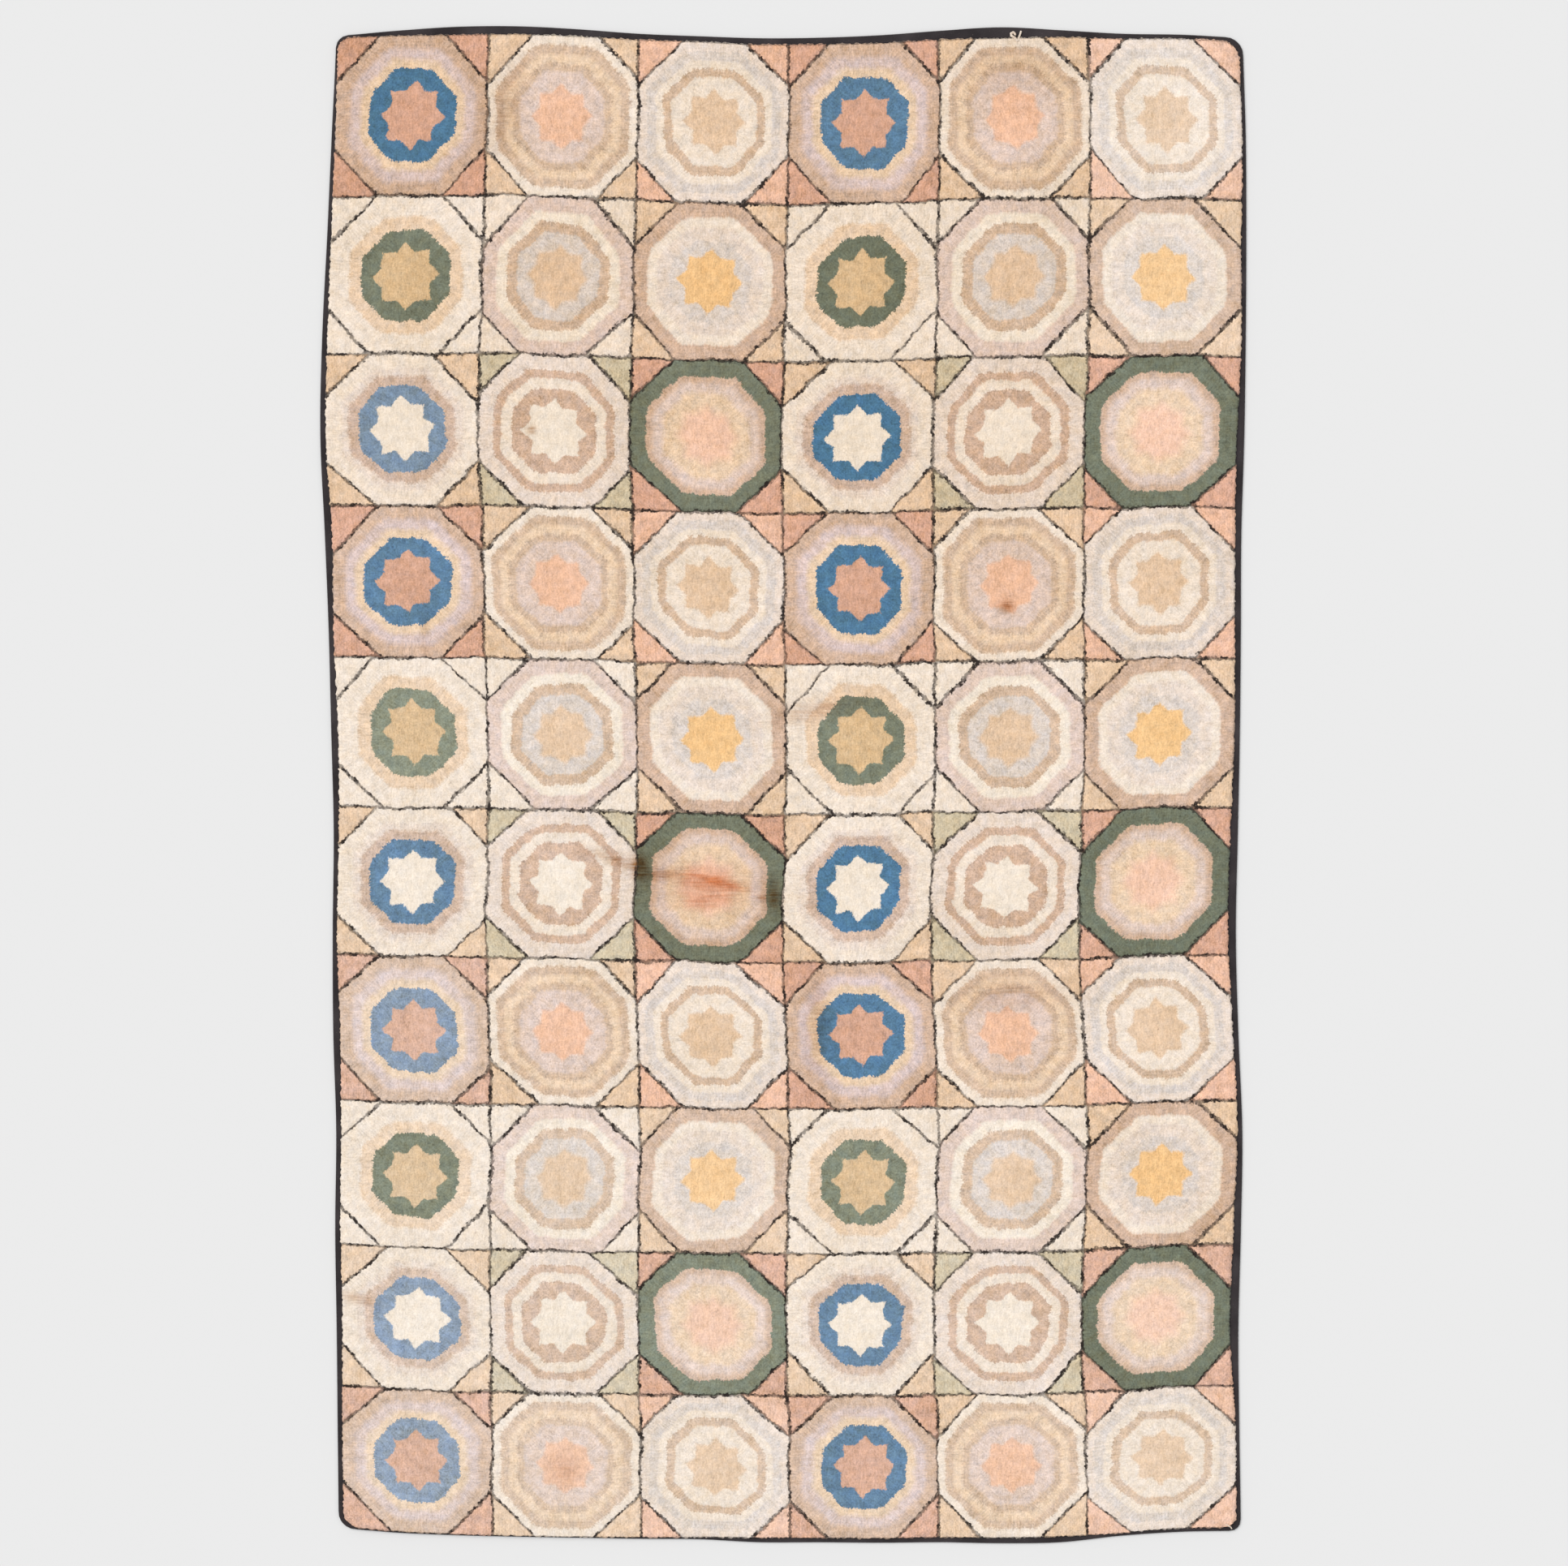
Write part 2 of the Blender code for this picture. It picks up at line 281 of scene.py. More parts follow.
def place_off_centre(u, v, tape_part, inset):
    """Points at the shares u across and v up of the space that lies inset, and tape_part of the tape's
    shown width, inside the rug's edge. Corners are rounded."""
    down = 1.0 - v
    left = -RUG_WIDTH / 2 - along_table(SIDES, LEFT_OUT, down)
    right = RUG_WIDTH / 2 + along_table(SIDES, RIGHT_OUT, down)
    bottom = -RUG_LENGTH / 2 - along_table(ENDS, BOTTOM_OUT, u)
    top = RUG_LENGTH / 2 + along_table(ENDS, TOP_OUT, u)
    left += inset + tape_part * along_table(SIDES, LEFT_TAPE, down)
    right -= inset + tape_part * along_table(SIDES, RIGHT_TAPE, down)
    bottom += inset + tape_part * along_table(ENDS, BOTTOM_TAPE, u)
    top -= inset + tape_part * along_table(ENDS, TOP_TAPE, u)
    x = left + (right - left) * u
    y = bottom + (top - bottom) * v
    on_right = u > 0.5
    on_top = v > 0.5
    radius = np.maximum(np.array(CORNER_RADII)[on_right.astype(int), on_top.astype(int)] - inset,
                        SMALLEST_CORNER_RADIUS)
    from_side = np.where(on_right, right - x, x - left)
    from_end = np.where(on_top, top - y, y - bottom)
    in_x = np.clip(radius - from_side, 0, None)
    in_y = np.clip(radius - from_end, 0, None)
    squeeze = np.maximum(in_x, in_y) / np.maximum(np.hypot(in_x, in_y), 1e-9)
    from_side = np.where(in_x * in_y > 0, radius - in_x * squeeze, from_side)
    from_end = np.where(in_x * in_y > 0, radius - in_y * squeeze, from_end)
    x = np.where(on_right, right - from_side, left + from_side)
    y = np.where(on_top, top - from_end, bottom + from_end)
    return x, y


def border_shares(steps_across, steps_along):
    """Shares u and v of even steps round the rug, anticlockwise from the bottom left corner."""
    across = np.arange(steps_across) / steps_across
    along = np.arange(steps_along) / steps_along
    u = np.concatenate([across, np.ones(steps_along), 1 - across, np.zeros(steps_along)])
    v = np.concatenate([np.zeros(steps_across), along, np.ones(steps_across), 1 - along])
    return u, v


def middle_of_outline():
    """The middle of the box round the rug's outer edge."""
    x, y = place_off_centre(*border_shares(400, 600), 0.0, 0.0)
    return (x.min() + x.max()) / 2, (y.min() + y.max()) / 2


MIDDLE = middle_of_outline()


def place_on_rug(u, v, tape_part, inset):
    """As place_off_centre, with the middle of the rug's box at the origin."""
    x, y = place_off_centre(u, v, tape_part, inset)
    return x - MIDDLE[0], y - MIDDLE[1]


def swell(u, v):
    """The slow rise and fall of the pile."""
    waves = [np.sin(2 * math.pi * (across * u + along * v) + phase) for across, along, phase in SWELLS]
    return PILE_SWELL * sum(waves) / len(SWELLS)


def wander(x, y, waves):
    """The uneven drift of the hooked lines."""
    return sum(size * np.sin(2 * math.pi * (across * x + along * y) + phase)
               for size, across, along, phase in waves)


def scatter(key_a, key_b, seed):
    """A fixed random number from 0 to 1 for each pair of whole numbers, the same in every column."""
    a, b = (np.atleast_1d(key).astype(np.uint32) for key in (key_a, key_b))
    mixed = (a * np.uint32(73856093)) ^ (b * np.uint32(19349663)) ^ np.uint32(seed * 83492791 % 2**32)
    for factor in (1274126177, 668265263):
        mixed = (mixed ^ (mixed >> np.uint32(15))) * np.uint32(factor)
    return (mixed >> np.uint32(8)) / float(2**24)


# The lattice of one block


def between(lower, upper):
    """Triangles between two rows of vertices that run side by side, in step with each other."""
    a = b = 0
    last_a, last_b = len(lower) - 1, len(upper) - 1
    made = []
    while a < last_a or b < last_b:
        if b == last_b or (a < last_a and (a + 1) * last_b <= (b + 1) * last_a):
            made.append((lower[a], upper[b], lower[a + 1]))
            a += 1
        else:
            made.append((lower[a], upper[b], upper[b + 1]))
            b += 1
    return made


def block_lattice():
    """One block's vertices (u and v from -1 to 1), triangles, and which vertices are on a ridge."""
    places = [(0.0, 0.0)]
    ridge = [0.0]
    triangles = []
    rings = [[[0]] * 8]
    reach = 1 / math.cos(math.pi / 8)
    eighth = math.pi / 4
    for ring in range(1, RINGS + 1):
        distance = ring / RINGS
        steps = max(1, round(TUFT_STEPS_PER_RING * ring))
        first = len(places)
        for side in range(8):
            start, end = ((side - 0.5) * eighth, (side + 0.5) * eighth)
            for step in range(steps):
                t = step / steps
                x = (1 - t) * math.cos(start) + t * math.cos(end)
                y = (1 - t) * math.sin(start) + t * math.sin(end)
                places.append((distance * reach * x, distance * reach * y))
                ridge.append(float(ring % 2))
        around = 8 * steps
        sides = [[first + (side * steps + step) % around for step in range(steps + 1)]
                 for side in range(8)]
        for side in range(8):
            triangles += between(rings[-1][side], sides[side])
        rings.append(sides)
    flat_end = math.tan(math.pi / 8)
    for quarter in range(4):
        turn_x, turn_y = ((1, 0), (0, 1), (-1, 0), (0, -1))[quarter]
        row = rings[-1][2 * quarter + 1]
        base_steps = len(row) - 1
        for number in range(1, CORNER_ROWS + 1):
            leg = flat_end + (1 - flat_end) * number / CORNER_ROWS
            steps = round(base_steps * (1 - number / CORNER_ROWS))
            first = len(places)
            for step in range(steps + 1):
                t = step / max(steps, 1)
                x = 1 - t + t * leg
                y = (1 - t) * leg + t
                places.append((turn_x * x - turn_y * y, turn_y * x + turn_x * y))
                ridge.append(float(number % 2))
            new_row = list(range(first, len(places)))
            triangles += between(row, new_row)
            row = new_row
    return np.array(places), np.array(triangles), np.array(ridge)


LATTICE_PLACES, LATTICE_TRIANGLES, LATTICE_RIDGE = block_lattice()


def octagon(u, v):
    """How far out a place is in its block: 1 at the octagon's edge."""
    a, b = np.abs(u), np.abs(v)
    return np.maximum(np.maximum(a, b), (a + b) * OCTAGON_DIAGONAL)


def chances(column, row, seed, count):
    """Fixed random numbers from -1 to 1 for a block."""
    return [2 * scatter(column, row, seed + k)[0] - 1 for k in range(count)]


def uneven(u, v, column, row):
    """The block's inner rings, set a little off centre, turned and out of round, as hooked by eye."""
    aside, up, turned, stretched, where, lobed = chances(column, row, RINGS_SEED, 6)
    inside = np.clip(1 - octagon(u, v), 0, 1)
    angle = np.arctan2(v, u)
    turn = MOST_TURN * turned * inside
    swollen = 1 + inside * (MOST_STRETCH * stretched * np.cos(2 * angle + 3 * where)
                            + MOST_LOBED * lobed * np.cos(3 * angle + 2 * where))
    moved_u = (u * np.cos(turn) - v * np.sin(turn)) * swollen + MOST_ASIDE * aside * inside
    moved_v = (u * np.sin(turn) + v * np.cos(turn)) * swollen + MOST_ASIDE * up * inside
    return moved_u, moved_v


def slant_lines(u, v, column, row):
    """Where the four slanted outlines cut the block's corners, for places u, v: how far out they are,
    as |u| + |v|, and how much they lean."""
    corner = 2 * (u > 0) + (v > 0)
    reach = np.array([SLANT_REACH + SLANT_SPREAD * k for k in chances(column, row, REACH_SEED, 4)])
    lean = np.array([SLANT_LEAN * k for k in chances(column, row, LEAN_SEED, 4)])
    return reach[corner], lean[corner]


def ring_distance(u, v, column, row):
    """How far out a place is among the rings. Their corners are a little round, and the outer ones
    follow the slanted outlines."""
    a, b = np.abs(u), np.abs(v)
    rough = octagon(u, v)
    reach, lean = slant_lines(u, v, column, row)
    reach = 1 / OCTAGON_DIAGONAL + (reach - 1 / OCTAGON_DIAGONAL) * rough
    slanted = (a * (1 + lean * rough) + b * (1 - lean * rough)) / reach
    return (a**ROUNDING + b**ROUNDING + slanted**ROUNDING) ** (1 / ROUNDING)


def star_distance(u, v, block):
    """How far out a place is in the eight-pointed star: 1 at its edge, straight from tip to notch."""
    eighth = math.pi / 8
    radius = np.hypot(u, v)
    angle = np.abs((np.arctan2(v, u) + eighth) % (2 * eighth) - eighth)
    along = radius * np.cos(angle)
    aside = radius * np.sin(angle)
    tips, notches = block.tips, block.notches
    lean = (tips - notches * math.cos(eighth)) / (notches * math.sin(eighth))
    return (along + aside * lean) / tips


def slant_distance(u, v, column, row):
    """Shares of half a block past the slanted outline, into the corner."""
    reach, lean = slant_lines(u, v, column, row)
    return (np.abs(u) * (1 + lean) + np.abs(v) * (1 - lean) - reach) / math.sqrt(2)


def grid_distance(u, v, column, row):
    """Shares of half a block to the nearest outline between blocks. The rug's own edge has none."""
    far = np.full_like(u, 1.0)
    upright = np.minimum(1 - u if column < COLUMNS - 1 else far, 1 + u if column > 0 else far)
    level = np.minimum(1 + v if row < ROWS - 1 else far, 1 - v if row > 0 else far)
    near = np.clip(0.5 + 0.5 * (level - upright) / KNOT, 0, 1)
    return level * (1 - near) + upright * near - KNOT * near * (1 - near)


# The strokes' map: the side, in eighths of a turn, whose rows stand upright, and how far apart on the map
# the sides are, in metres. The wandering of the lines dies out this near the rug's edge, in blocks
UPRIGHT_SIDE = 6
SIDE_APART = 0.7
CALM_EDGE = 0.35


def strokes(u, v, faces, in_star, in_corner):
    """The hooker's strokes, in metres, for each face's corners: along the row of hooking, then across it.
    Rings are hooked along their sides. The star and the corners are hooked in upright rows."""
    centre_u, centre_v = u[faces].mean(1), v[faces].mean(1)
    side = np.round(np.arctan2(centre_v, centre_u) / (math.pi / 4))
    side = np.where(in_star[faces].mean(1) > 0.5, UPRIGHT_SIDE, side)
    side = np.where(in_corner[faces].mean(1) > 0, UPRIGHT_SIDE, side)
    angle = (side * math.pi / 4)[:, None]
    face_u, face_v = u[faces], v[faces]
    along = face_v * np.cos(angle) - face_u * np.sin(angle)
    across = face_u * np.cos(angle) + face_v * np.sin(angle)
    along = along * HALF_BLOCK + SIDE_APART * side[:, None]
    return np.stack([along, across * HALF_BLOCK], 2).reshape(-1, 2)


def pile_places(across, down):
    """Where the pile's places are on the rug, from blocks across and blocks down."""
    u = across / COLUMNS
    v = 1 - np.interp(down, range(ROWS + 1), ROW_LINES)
    x, y = place_on_rug(u, v, 1.0, 0.0)
    calm = np.clip(np.minimum.reduce([across, COLUMNS - across, down, ROWS - down]) / CALM_EDGE, 0, 1)
    return x + calm * wander(x, y, WANDERS_X), y + calm * wander(x, y, WANDERS_Y), swell(u, v)


BAKE_ACROSS, BAKE_UP = 3, 4
BAKE_FILL = 0.94


def bake_place(u, v, row):
    """The block's place on its column's texture: three blocks across and four up."""
    x = (row % BAKE_ACROSS + 0.5 + BAKE_FILL * u / 2) / BAKE_ACROSS
    y = (row // BAKE_ACROSS + 0.5 + BAKE_FILL * v / 2) / BAKE_UP
    return x, y


def make_mesh(name, points, faces, corner_maps=(), point_values=()):
    """A mesh object from arrays. Every face has as many corners as faces has columns. corner_maps are
    names and (corners, 2) arrays, point_values are names and one number for each point."""
    mesh = bpy.data.meshes.new(name)
    count, sides = faces.shape
    mesh.vertices.add(len(points))
    mesh.vertices.foreach_set("co", np.asarray(points, np.float32).ravel())
    mesh.loops.add(count * sides)
    mesh.loops.foreach_set("vertex_index", np.asarray(faces, np.int32).ravel())
    mesh.polygons.add(count)
    mesh.polygons.foreach_set("loop_start", np.arange(0, count * sides, sides, dtype=np.int32))
    mesh.update(calc_edges=True)
    for map_name, places in corner_maps:
        layer = mesh.uv_layers.new(name=map_name)
        layer.uv.foreach_set("vector", np.asarray(places, np.float32).ravel())
    for value_name, values in point_values:
        layer = mesh.attributes.new(value_name, "FLOAT", "POINT")
        layer.data.foreach_set("value", np.asarray(values, np.float32))
    mesh.shade_smooth()
    made = bpy.data.objects.new(name, mesh)
    bpy.context.scene.collection.objects.link(made)
    return made


KEY_STEPS = 20000
PATTERN_MAPS = ("rings", "lines", "strokes", "OFBake")


def block_maps(u, v, faces, column, row):
    """The block's face corners on each of PATTERN_MAPS, for places u, v and their triangles."""
    block = BLOCKS["ABC"[row % 3] + str(column % 3 + 1)]
    star = star_distance(u, v, block)
    slant = slant_distance(u, v, column, row)
    corners = faces.ravel()
    return {
        "rings": np.stack([ring_distance(u, v, column, row), star], 1)[corners],
        "lines": np.stack([grid_distance(u, v, column, row), slant], 1)[corners],
        "strokes": strokes(u, v, faces, star < 1, slant > 0),
        "OFBake": np.stack(bake_place(u, v, row), 1)[corners],
    }


def stain_amounts(stains, x, y):
    """How strong the stains are at each place, from 0 to 1."""
    total = np.zeros_like(x)
    for stain_x, stain_y, half_length, half_width, turn, amount in stains:
        turn = math.radians(turn)
        along = (x - stain_x) * math.cos(turn) + (y - stain_y) * math.sin(turn)
        aside = (y - stain_y) * math.cos(turn) - (x - stain_x) * math.sin(turn)
        total += amount * np.exp(-((along / half_length) ** 2) - (aside / half_width) ** 2)
    return np.clip(total, 0, 1)


def pile_column(column, materials):
    """One column of blocks: the hooked pile, down to the binding where it reaches the rug's edge."""
    u, v = LATTICE_PLACES.T
    rows = []
    maps = {name: [] for name in PATTERN_MAPS}
    for row in range(ROWS):
        moved_u, moved_v = uneven(u, v, column, row)
        pale = np.interp(row, *zip(*PALE_DOWN)) + np.interp(column, *zip(*PALE_ACROSS))
        rows.append((
            column + (moved_u + 1) / 2,
            row + (1 - moved_v) / 2,
            np.stack([column + (u + 1) / 2, row + (1 - v) / 2], 1),
            LATTICE_RIDGE,
            slant_distance(u, v, column, row),
            grid_distance(u, v, column, row),
            np.full(len(u), pale + BLOCK_PALE.get((column, row), 0.0)),
            np.full(len(u), FADED.get((column, row), 0.0)),
            LATTICE_TRIANGLES + row * len(u),
            np.full(len(LATTICE_TRIANGLES), row % 3),
        ))
        for name, places in block_maps(u, v, LATTICE_TRIANGLES, column, row).items():
            maps[name].append(places)
    across, down, keys, ridge, slants, grids, pale, fades, faces, kinds = map(np.concatenate, zip(*rows))
    keys = np.round(keys * KEY_STEPS).astype(np.int64)
    keys, kept, merged = np.unique(keys, axis=0, return_index=True, return_inverse=True)
    merged = merged.ravel()
    across, down, ridge, slants, grids, pale = (
        values[kept] for values in (across, down, ridge, slants, grids, pale)
    )
    fade = np.zeros(len(keys))
    np.maximum.at(fade, merged, fades)
    x, y, rise = pile_places(across, down)

    to_line = HALF_BLOCK * np.minimum(np.abs(slants), np.abs(grids))
    to_edge = 2 * HALF_BLOCK * np.minimum.reduce([across, COLUMNS - across, down, ROWS - down])
    height_chance, across_chance, along_chance = (
        2 * scatter(keys[:, 0], keys[:, 1], seed) - 1 for seed in (HEIGHT_SEED, ACROSS_SEED, ALONG_SEED)
    )
    relief = ROW_RELIEF * (2 * ridge - 1) + TUFT_RELIEF * height_chance
    relief -= OUTLINE_GROOVE * np.exp(-((to_line / OUTLINE_REACH) ** 2))
    relief -= EDGE_DROP * np.exp(-((to_edge / EDGE_REACH) ** 2))
    x += TUFT_SHIFT * across_chance
    y += TUFT_SHIFT * along_chance
    points = np.stack([x, y, PILE_TOP + rise + relief], 1)
    # Painted shade: the relief is kept to tint the wool, darker in grooves, at outlines and at the edge,
    # lighter on ridges
    painted_relief_shade = relief / (ROW_RELIEF + TUFT_RELIEF)

    sides = pile_sides(column, keys, points, painted_relief_shade)
    points = np.concatenate([points] + sides["points"])
    painted_relief_shade = np.concatenate([painted_relief_shade] + sides["painted_relief_shade"])
    fade = np.concatenate([fade, np.repeat(fade.max(), len(points) - len(fade))])
    pale = np.concatenate([pale, np.zeros(len(points) - len(pale))])
    faces = np.concatenate([merged[faces]] + sides["faces"])
    kinds = np.concatenate([kinds] + sides["kinds"])
    maps = [(name, np.concatenate(maps[name] + sides[name])) for name in PATTERN_MAPS]
    values = [
        ("painted_relief_shade", painted_relief_shade),
        ("soil", stain_amounts(SOIL, points[:, 0], points[:, 1])),
        ("rust", stain_amounts(RUST, points[:, 0], points[:, 1])),
        ("fade", fade),
        ("pale", pale),
    ]
    made = make_mesh(f"pile_column_{column + 1}", points, faces, maps, values)
    for letter in "ABC":
        made.data.materials.append(materials[f"{letter}{column % 3 + 1}"])
    made.data.polygons.foreach_set("material_index", kinds.astype(np.int32))
    return made


def pile_sides(column, keys, points, painted_relief_shade):
    """The pile's outer wall where this column reaches the rug's edge: from each vertex of the rim, down
    in steps to the tape."""
    far_across, far_down = COLUMNS * KEY_STEPS, ROWS * KEY_STEPS
    rims = [(1, 0, (0, 1)), (1, far_down, (0, -1))]
    if column == 0:
        rims.append((0, 0, (-1, 0)))
    if column == COLUMNS - 1:
        rims.append((0, far_across, (1, 0)))
    made = {name: [] for name in ("points", "painted_relief_shade", "faces", "kinds") + PATTERN_MAPS}
    total = len(points)
    for axis, place, way in rims:
        chain = np.flatnonzero(keys[:, axis] == place)
        chain = chain[np.argsort(keys[chain, 1 - axis])]
        key = keys[chain]
        outward = np.repeat(np.array([way], float), len(chain), 0)
        outward[:, 0] += ((key[:, 0] == far_across) * 1.0 - (key[:, 0] == 0)) * (way[0] == 0)
        outward[:, 1] += ((key[:, 1] == 0) * 1.0 - (key[:, 1] == far_down)) * (way[1] == 0)
        outward /= np.linalg.norm(outward, axis=1)[:, None]
        count = len(chain)
        ids = [chain]
        for number, (distance, drop, _) in enumerate(SIDE_STEPS):
            ragged = WALL_LEAST + WALL_RAGGED * scatter(key[:, 0], key[:, 1], WALL_SEED + number)
            moved = points[chain].copy()
            moved[:, :2] += outward * (distance * ragged)[:, None]
            moved[:, 2] = np.maximum(moved[:, 2] - drop, TAPE_HEIGHT - PILE_SUNK)
            made["points"].append(moved)
            # Painted shade: each step down the wall is painted darker
            made["painted_relief_shade"].append(painted_relief_shade[chain] - WALL_PAINTED_SHADE * (number + 1))
            ids.append(total + np.arange(count))
            total += count
        ids = np.concatenate(ids)
        out = np.repeat([0.0] + [reach for _, _, reach in SIDE_STEPS], count)
        middles = np.minimum((key[:-1] + key[1:]) // (2 * KEY_STEPS), (COLUMNS - 1, ROWS - 1))
        for across, down in np.unique(middles, axis=0):
            steps = np.flatnonzero((middles == (across, down)).all(1))
            u = np.tile(2 * (key[:, 0] / KEY_STEPS - across) - 1, len(SIDE_STEPS) + 1)
            v = np.tile(1 - 2 * (key[:, 1] / KEY_STEPS - down), len(SIDE_STEPS) + 1)
            moved = np.stack(bake_place(u + way[0] * out, v + way[1] * out, int(down)), 1)
            for upper in range(len(SIDE_STEPS)):
                a, b = steps + upper * count, steps + 1 + upper * count
                c, d = b + count, a + count
                local = np.concatenate([np.stack([a, b, c], 1), np.stack([a, c, d], 1)])
                if way in ((0, 1), (-1, 0)):
                    local = local[:, ::-1]
                made["faces"].append(ids[local])
                made["kinds"].append(np.full(len(local), down % 3))
                maps = block_maps(u, v, local, column, int(down))
                maps["OFBake"] = moved[local.ravel()]
                for name in PATTERN_MAPS:
                    made[name].append(maps[name])
    return made


# Materials


class Shader:
    """A material's nodes, made one call at a time. Each call takes numbers or sockets."""

    def __init__(self, name):
        self.material = bpy.data.materials.new(name)
        self.material.use_nodes = True
        self.nodes = self.material.node_tree.nodes
        self.links = self.material.node_tree.links
        self.surface = self.nodes["Principled BSDF"]

    def put(self, socket, value):
        if isinstance(value, bpy.types.NodeSocket):
            self.links.new(value, socket)
        else:
            socket.default_value = value

    def node(self, kind, **settings):
        made = self.nodes.new(kind)
        for name, value in settings.items():
            setattr(made, name, value)
        return made

    def math(self, operation, *values):
        made = self.node("ShaderNodeMath", operation=operation)
        for socket, value in zip(made.inputs, values):
            self.put(socket, value)
        return made.outputs[0]

    def times(self, first, second):
        return self.math("MULTIPLY", first, second)

    def vector(self, operation, *values):
        made = self.node("ShaderNodeVectorMath", operation=operation)
        for socket, value in zip(made.inputs, values):
            self.put(socket, value)
        return made.outputs[0]

    def parts(self, vector):
        made = self.node("ShaderNodeSeparateXYZ")
        self.put(made.inputs[0], vector)
        return made.outputs

    def map(self, name):
        return self.node("ShaderNodeUVMap", uv_map=name).outputs[0]

    def place(self):
        return self.node("ShaderNodeTexCoord").outputs["Object"]

    def value(self, name):
        return self.node("ShaderNodeAttribute", attribute_name=name).outputs["Fac"]

    def noise(self, vector, scale, detail=1.0, roughness=0.5, flat=True):
        """Smooth noise: its value, then its colour. Flat noise is the same all the way up."""
        made = self.node("ShaderNodeTexNoise", noise_dimensions="2D" if flat else "3D")
        self.put(made.inputs["Vector"], vector)
        self.put(made.inputs["Scale"], scale)
        self.put(made.inputs["Detail"], detail)
        self.put(made.inputs["Roughness"], roughness)
        return made.outputs

    def span(self, value, low, high, to_low=0.0, to_high=1.0):
        made = self.node("ShaderNodeMapRange")
        for socket, number in zip(made.inputs, (value, low, high, to_low, to_high)):
            self.put(socket, number)
        return made.outputs[0]

    def mix(self, share, first, second, blend="MIX"):
        made = self.node("ShaderNodeMix", data_type="RGBA", blend_type=blend)
        self.put(made.inputs[0], share)
        self.put(made.inputs[6], first)
        self.put(made.inputs[7], second)
        return made.outputs[2]

    def ramp(self, value, stops):
        made = self.node("ShaderNodeValToRGB")
        self.put(made.inputs[0], value)
        elements = made.color_ramp.elements
        while len(elements) < len(stops):
            elements.new(0.5)
        for element, (position, colour) in zip(elements, stops):
            element.position = position
            element.color = colour
        return made.outputs[0]

    def bump(self, height, strength, distance):
        made = self.node("ShaderNodeBump")
        self.put(made.inputs["Strength"], strength)
        self.put(made.inputs["Distance"], distance)
        self.put(made.inputs["Height"], height)
        self.put(self.surface.inputs["Normal"], made.outputs[0])

    def finish(self, colour, roughness, sheen=0.0):
        self.put(self.surface.inputs["Base Color"], colour)
        self.put(self.surface.inputs["Roughness"], roughness)
        self.put(self.surface.inputs["Specular IOR Level"], 0.15)
        if sheen:
            self.put(self.surface.inputs["Sheen Weight"], sheen)
            self.put(self.surface.inputs["Sheen Roughness"], 0.6)
        return self.material


# The ramp of a block's colours ends this far out. Bumps: strength, and height in metres
RAMP_REACH = 1.06
PILE_BUMP = 0.6
PILE_BUMP_HEIGHT = 0.0009
TUFT_BUMP_SHARE = 1.6


def ring_stops(rings, blend):
    """The rings' colours from the middle out, each blending into the next over this width. Blue and green
    wool have crisp edges."""
    stops = []
    start = 0.0
    for (wool, outer), after in zip(rings, rings[1:] + (None,)):
        crisp = after is not None and (wool in FADED_WOOL or after[0] in FADED_WOOL)
        soft = CRISP_EDGE if crisp else blend
        end = RAMP_REACH if after is None else outer - soft / 2
        stops.append((start / RAMP_REACH, WOOL[wool]))
        stops.append((end / RAMP_REACH, WOOL[wool]))
        start = outer + soft / 2
    return stops


